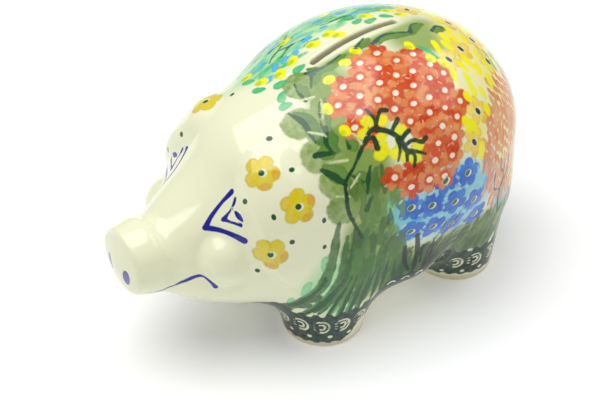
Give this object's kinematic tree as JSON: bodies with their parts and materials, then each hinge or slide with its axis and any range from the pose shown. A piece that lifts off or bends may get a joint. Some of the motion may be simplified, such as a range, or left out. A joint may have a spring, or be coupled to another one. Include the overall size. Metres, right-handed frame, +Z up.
{
  "type": "piggy bank",
  "caption": "Hollow glazed stoneware pig on short feet, with a coin slot in its back and a rubber stopper in its belly.",
  "frame": {"origin": "centre of the whole pig's footprint box, on the plane that the feet stand on", "axes": "+Z up, -Y the way the snout points, +X the pig's left side"},
  "size_m": [0.1, 0.1709, 0.104],
  "materials": {
    "painted_glaze": "underglaze painting in greens, orange, blue and yellow on cream stoneware, clear gloss glaze",
    "cream_glaze": "cream stoneware under a clear gloss glaze, with blue, green and yellow stamped marks",
    "stopper_rubber": "soft satin rubber"
  },
  "bodies": {
    "stoneware": {"body_shell": "painted_glaze", "head_shell": "cream_glaze", "left_ear": "cream_glaze", "right_ear": "cream_glaze", "tail": "cream_glaze"},
    "stopper": {"stopper": "stopper_rubber"}
  },
  "joints": [
    {"name": "stopper_pull", "type": "slide", "parent": "stoneware", "child": "stopper", "axis": [0, 0, -1], "range_m": [0, 0.03]}
  ]
}
